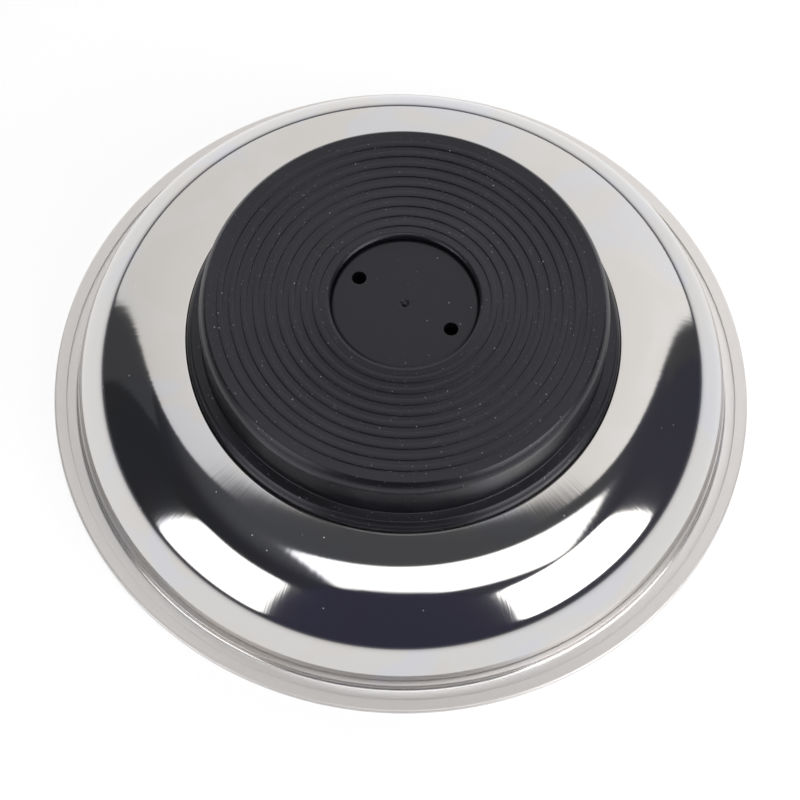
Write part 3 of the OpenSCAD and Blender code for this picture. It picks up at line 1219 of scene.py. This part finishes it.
@dataclass
class Boot:
    """Rubber boot with its ring ribs, on a face that sinks a little between its borders.

    Sizes are in millimetres.
    """

    wall: float = 41.9
    shoulder: float = 1.5
    shoulder_edge: float = 0.2
    ledge_round: float = 1.2
    ledge_edge: float = 0.3
    edge_turn: float = 42.0
    flange_thick: float = 2.8
    corner: float = 0.25
    foot: float = 0.2
    recess: float = 15.2
    mouth_round: float = 0.9
    mouth_turn: float = 64.0
    recess_top: float = 3.8
    lip: float = 13.0
    floor: float = 4.6
    cavity: float = 40.2
    rib_first: float = 18.15
    rib_pitch: float = 2.42
    rib_count: int = 9
    rib_width: float = 1.2
    rib_height: float = 0.3
    rib_edge: float = 0.07
    rib_fillet: float = 0.05
    sag: float = 0.5
    rib_support: float = 0.3
    mouth_support: float = 0.2
    recess_support: float = 0.1
    face_supports: tuple[float, ...] = (1.2, 0.6, 0.15)
    turns: int = 288

    def __post_init__(self) -> None:
        """Reads the outer sizes from the frame."""
        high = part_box("boot")[1]
        self.flange = high.x / MM
        self.height = high.z / MM

    def rib(self, radius: float) -> list[Point]:
        """Outline of one ring rib: rounded edges, upright flanks and filleted feet.

        Args:
            radius: Radius of the rib's middle.

        Returns:
            Its points from the inside out.
        """
        half, edge, fillet, face = self.rib_width / 2, self.rib_edge, self.rib_fillet, self.rib_height
        inner, outer = radius - half, radius + half
        return joined(
            [(inner - self.rib_support, face)],
            arc((inner - fillet, face - fillet), fillet, 90, 0, 3),
            arc((inner + edge, edge), edge, 180, 270, 3),
            [(radius, 0.0)],
            arc((outer - edge, edge), edge, 270, 360, 3),
            arc((outer + fillet, face - fillet), fillet, 180, 90, 3),
            [(outer + self.rib_support, face)],
        )

    def mouth(self) -> float:
        """Radius where the recess's rounded mouth meets the ring face."""
        return self.recess + self.mouth_round * math.sin(math.radians(self.mouth_turn))

    def sunk(self, points: list[Point]) -> list[Point]:
        """Lets the ring face sink between the recess and the shoulder.

        Args:
            points: Outline of the face while it is level.

        Returns:
            The outline of the sunk face.
        """
        inner, outer = self.mouth(), self.wall - self.shoulder
        middle, reach = (inner + outer) / 2, (outer - inner) / 2
        return [(r, z + self.sag * max(0.0, 1 - ((r - middle) / reach) ** 2)) for r, z in points]

    def rounding(self, radius: float, height: float, width: float, edge: float) -> list[Point]:
        """Outline of an outer edge: a tight turn, then a slack one that ends upright.

        Args:
            radius: Where the edge starts.
            height: Height of the face that it starts from.
            width: How far it reaches outwards.
            edge: Radius of the tight turn.

        Returns:
            Its points from the face to the side.
        """
        turn = math.radians(self.edge_turn)
        slack = (width - edge * math.sin(turn)) / (1 - math.sin(turn))
        drop = edge * (1 - math.cos(turn)) + slack * math.cos(turn)
        return joined(
            arc((radius, height + edge), edge, -90, self.edge_turn - 90, 6),
            arc((radius + width - slack, height + drop), slack, self.edge_turn - 90, 0, 14),
        )

    def section(self) -> list[Point]:
        """Closed outline of the boot.

        Returns:
            Its points.
        """
        ledge = self.height - self.flange_thick
        face, base = self.wall - self.shoulder, self.rib_height
        mouth = self.mouth()
        crest = arc((mouth, base + self.mouth_round), self.mouth_round, 270 - self.mouth_turn, 270, 10)
        ribs = [p for i in range(self.rib_count) for p in self.rib(self.rib_first + i * self.rib_pitch)]
        return joined(
            line((self.lip, self.recess_top), (self.recess, self.recess_top), 2),
            [(self.recess, crest[0][1] + self.recess_support)],
            crest,
            self.sunk(
                [(mouth + self.mouth_support, base), *ribs, *[(face - s, base) for s in self.face_supports]]
            ),
            self.rounding(face, base, self.shoulder, self.shoulder_edge),
            arc((self.wall + self.corner, ledge - self.corner), self.corner, 180, 90, 6),
            self.rounding(self.flange - self.ledge_round, ledge, self.ledge_round, self.ledge_edge),
            arc((self.flange - self.foot, self.height - self.foot), self.foot, 0, 90, 6),
            [
                (self.cavity, self.height),
                (self.cavity, self.floor),
                (self.lip, self.floor),
                (self.lip, self.recess_top),
            ],
        )

    def build(self, lathe: Lathe, finish: Material) -> Object:
        """Turns the boot and puts it in the place of its node.

        Args:
            lathe: The lathe that turns it.
            finish: The piece's material.

        Returns:
            The piece.
        """
        piece = baked(lathe.turn("rubber_boot", self.section(), finish, self.turns))
        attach(piece, BODY)
        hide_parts("boot")
        return piece


@dataclass
class HubPlug:
    """Plug in the boot's recess, with its two spanner holes. Sizes in millimetres."""

    chamfer: float = 0.5
    chamfer_tilt: float = 20.0
    edge: float = 0.15
    flange_top: float = 3.8
    boss: float = 8.0
    collar: float = 4.3
    insert: float = 3.6
    thread: float = 2.55
    insert_low: float = 7.3
    collar_top: float = 8.7
    thread_low: float = 5.1
    face: float = 1.6
    nub: float = 0.8
    nub_round: float = 0.1
    nub_draft: float = 0.06
    dimple: float = 0.25
    dimple_edge: tuple[Point, ...] = ((-0.2, 1.0), (0.0, 0.4), (0.12, 0.08), (0.25, 0.0))
    spanner_circle: float = 10.996
    spanner_hole: float = 1.5
    overcut: float = 1.0
    lead: float = 0.5
    support: float = 0.1
    turns: int = 192

    def __post_init__(self) -> None:
        """Reads the outer sizes from the frame."""
        low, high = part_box("hub_plug")
        self.radius = high.x / MM
        self.nub_low = low.z / MM
        self.top = high.z / MM

    def section(self) -> list[Point]:
        """Outline from the nub's middle round to the bottom of the thread's hole.

        Returns:
            Its points.
        """
        pip = self.nub / 2
        tilt = math.radians(self.chamfer_tilt)
        flat_end = self.radius - self.edge * (1 - math.sin(tilt)) - self.chamfer
        side_start = self.face + self.chamfer * math.tan(tilt) + self.edge * math.cos(tilt)
        return joined(
            [(0.0, self.nub_low)],
            arc((pip - self.nub_round, self.nub_low + self.nub_round), self.nub_round, -90, 0, 4),
            [(pip + self.nub_draft, self.face + self.dimple)],
            [(self.nub + out, self.face + share * self.dimple) for out, share in self.dimple_edge],
            line((self.nub + self.lead, self.face), (flat_end - self.support, self.face), 4),
            [(flat_end, self.face)],
            arc((self.radius - self.edge, side_start), self.edge, self.chamfer_tilt - 90, 0, 6),
            [
                (self.radius, self.flange_top),
                (self.boss, self.flange_top),
                (self.boss, self.top),
                (self.insert, self.top),
                (self.insert, self.collar_top),
                (self.collar, self.collar_top),
                (self.collar, self.insert_low),
                (self.thread, self.insert_low),
                (self.thread, self.thread_low),
                (0.0, self.thread_low),
            ],
        )

    def build(self, lathe: Lathe, drill: Drill, finish: Material) -> Object:
        """Turns and drills the plug and puts it in the place of its node.

        Args:
            lathe: The lathe that turns it.
            drill: The drill that makes its holes.
            finish: The piece's material.

        Returns:
            The piece.
        """
        piece = lathe.turn("hub_plug_disc", self.section(), finish, self.turns)
        low, high = self.face - self.overcut, self.flange_top + self.overcut
        drill.cut(piece, self.spanner_circle, self.spanner_hole, low, high, finish)
        baked(piece)
        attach(piece, BODY)
        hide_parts("hub_plug")
        return piece


@dataclass
class CentreScrew:
    """Pan-head machine screw with a cross recess. Sizes in millimetres."""

    shank: float = 2.5
    head: float = 5.0
    head_low: float = 17.5
    head_edge: float = 1.4
    edge_round: float = 0.25
    tip_chamfer: float = 0.5
    cross_length: float = 5.4
    cross_width: float = 1.1
    cross_depth: float = 2.1
    cross_taper: float = 0.42
    overcut: float = 0.3
    crown_start: float = 2.0
    side_draft: float = 0.04
    turns: int = 128

    def __post_init__(self) -> None:
        """Reads the outer sizes from the frame."""
        low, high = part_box("centre_screw")
        self.tip = low.z / MM
        self.top = high.z / MM

    def section(self) -> list[Point]:
        """Outline from the tip's middle round to the top of the head.

        Returns:
            Its points.
        """
        rise = self.top - self.head_low - self.head_edge
        dome = (self.head**2 + rise**2) / (2 * rise)
        start = math.degrees(math.acos(self.head / dome)) if dome > self.head else 0.0
        side = self.head_low + self.head_edge
        crown = arc((0.0, self.top - dome), dome, start + self.crown_start, 90, 14)
        return joined(
            [
                (0.0, self.tip),
                (self.shank - self.tip_chamfer, self.tip),
                (self.shank, self.tip + self.tip_chamfer),
            ],
            [(self.shank, self.head_low), (self.head - self.edge_round, self.head_low)],
            arc((self.head - self.edge_round, self.head_low + self.edge_round), self.edge_round, -90, 0, 4),
            [(self.head, side - self.edge_round), (self.head - self.side_draft, side)],
            crown,
        )

    def recess(self) -> Object:
        """Makes the tapered cross that is cut from the head.

        Returns:
            The cutter.
        """
        outline = []
        half, wide = self.cross_length / 2, self.cross_width / 2
        for quarter in range(4):
            turn = Matrix.Rotation(quarter * math.pi / 2, 2)
            outline += [turn @ Vector(p) for p in ((half, -wide), (half, wide), (wide, wide))]
        levels = ((self.top + self.overcut, 1.0), (self.top - self.cross_depth, self.cross_taper))
        points = [(p.x * k * MM, p.y * k * MM, z * MM) for z, k in levels for p in outline]
        count = len(outline)
        faces = [tuple(range(count)), tuple(reversed(range(count, 2 * count)))]
        faces += [(count + i, count + (i + 1) % count, (i + 1) % count, i) for i in range(count)]
        return new_object("cross_cutter", points, [], faces)

    def build(self, lathe: Lathe, finish: Material) -> Object:
        """Turns the screw, cuts its recess and puts it in the place of its node.

        Args:
            lathe: The lathe that turns it.
            finish: The piece's material.

        Returns:
            The piece.
        """
        piece = lathe.turn("pan_head_screw", self.section(), finish, self.turns)
        cutter = self.recess()
        cut = piece.modifiers.new("cross recess", "BOOLEAN")
        cut.operation = "DIFFERENCE"
        cut.object = cutter
        baked(piece)
        bpy.data.objects.remove(cutter)
        piece.data.materials.clear()
        piece.data.materials.append(finish)
        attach(piece, BODY)
        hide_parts("centre_screw")
        return piece


@dataclass
class FlatWasher:
    """Stamped washer, rounded on the die side. Sizes in millimetres."""

    bore: float = 2.75
    die_round: float = 0.35
    burr_round: float = 0.1
    turns: int = 128

    def section(self) -> list[Point]:
        """Closed outline of the washer.

        Returns:
            Its points.
        """
        low, high = (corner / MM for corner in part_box("flat_washer"))
        rim, big, small = high.x, self.die_round, self.burr_round
        return joined(
            arc((self.bore + small, low.z + small), small, 180, 270, 3),
            arc((rim - small, low.z + small), small, -90, 0, 3),
            arc((rim - big, high.z - big), big, 0, 90, 6),
            arc((self.bore + big, high.z - big), big, 90, 180, 6),
            [(self.bore, low.z + small)],
        )

    def build(self, lathe: Lathe, finish: Material) -> Object:
        """Turns the washer and puts it in the place of its node.

        Args:
            lathe: The lathe that turns it.
            finish: The piece's material.

        Returns:
            The piece.
        """
        piece = baked(lathe.turn("stamped_washer", self.section(), finish, self.turns))
        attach(piece, BODY)
        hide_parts("flat_washer")
        return piece


@dataclass
class LockWasher:
    """Split spring washer, as it lies when the screw is tight. Sizes in millimetres."""

    bore: float = 2.75
    corner: float = 0.2
    split: float = 0.9
    chords: int = 96

    def coil(self) -> NodeTree:
        """Builds the tree: a wire section swept along an arc, with its ends closed.

        Returns:
            The tree.
        """
        tree, given = new_tree("spring_coil", dict.fromkeys(("Radius", "Start", "Sweep", "Height"), "Float"))
        path = add_node(
            tree,
            "GeometryNodeCurveArc",
            {
                "Resolution": self.chords + 1,
                "Radius": given["Radius"],
                "Start Angle": given["Start"],
                "Sweep Angle": given["Sweep"],
            },
        )
        wire = add_node(tree, "GeometryNodeMeshToCurve", {"Mesh": given["Geometry"]})
        swept = add_node(
            tree, "GeometryNodeCurveToMesh", {"Curve": path, "Profile Curve": wire, "Fill Caps": True}
        )
        lift = add_node(tree, "ShaderNodeCombineXYZ", {2: given["Height"]})
        raised = add_node(tree, "GeometryNodeSetPosition", {"Geometry": swept, "Offset": lift})
        close_tree(tree, raised, given["Finish"])
        return tree

    def build(self, finish: Material) -> Object:
        """Sweeps the washer and puts it in the place of its node.

        Args:
            finish: The piece's material.

        Returns:
            The piece.
        """
        low, high = (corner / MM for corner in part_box("lock_washer"))
        rim = high.y
        middle, half_width, half_height = (self.bore + rim) / 2, (rim - self.bore) / 2, (high.z - low.z) / 2
        wide, tall, ease = half_width - self.corner, half_height - self.corner, self.corner
        section = joined(
            arc((wide, -tall), ease, -90, 0, 4),
            arc((wide, tall), ease, 0, 90, 4),
            arc((-wide, tall), ease, 90, 180, 4),
            arc((-wide, -tall), ease, 180, 270, 4),
        )
        points = [(x * MM, y * MM, 0.0) for x, y in section]
        count = len(points)
        piece = new_object("spring_washer", points, [(i, (i + 1) % count) for i in range(count)], [])
        gap = math.asin(self.split / 2 / middle)
        use_tree(
            piece,
            self.coil(),
            {
                "Radius": middle * MM,
                "Start": gap,
                "Sweep": math.tau - 2 * gap,
                "Height": (low.z + high.z) / 2 * MM,
                "Finish": finish,
            },
        )
        baked(piece)
        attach(piece, BODY)
        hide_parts("lock_washer")
        return piece


def dress(node: str, finish: Material) -> Object:
    """Gives a node that keeps its own shape a finish.

    Args:
        node: The node's name.
        finish: Its material.

    Returns:
        The node's object.
    """
    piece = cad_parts[node]
    for slot in piece.material_slots:
        slot.material = finish
    return piece


def main() -> None:
    """Builds the studio and the tray's pieces in order."""
    logging.basicConfig(level=logging.INFO, format="%(message)s")
    Studio().build()
    lathe, drill = Lathe(), Drill()
    zinc = ZincPlate().material()
    pieces = [
        Dish().build(lathe, PolishedStainless().material()),
        Boot().build(lathe, MouldedRubber().material()),
        HubPlug().build(lathe, drill, SatinPlastic().material()),
        dress("ring_magnet", GroundFerrite().material()),
        CentreScrew().build(lathe, zinc),
        LockWasher().build(zinc),
        FlatWasher().build(lathe, zinc),
        dress("threaded_insert", TurnedBrass().material()),
    ]
    for piece in pieces:
        LOG.info("%s: %d faces", piece.name, len(piece.data.polygons))


if __name__ == "__main__":
    main()
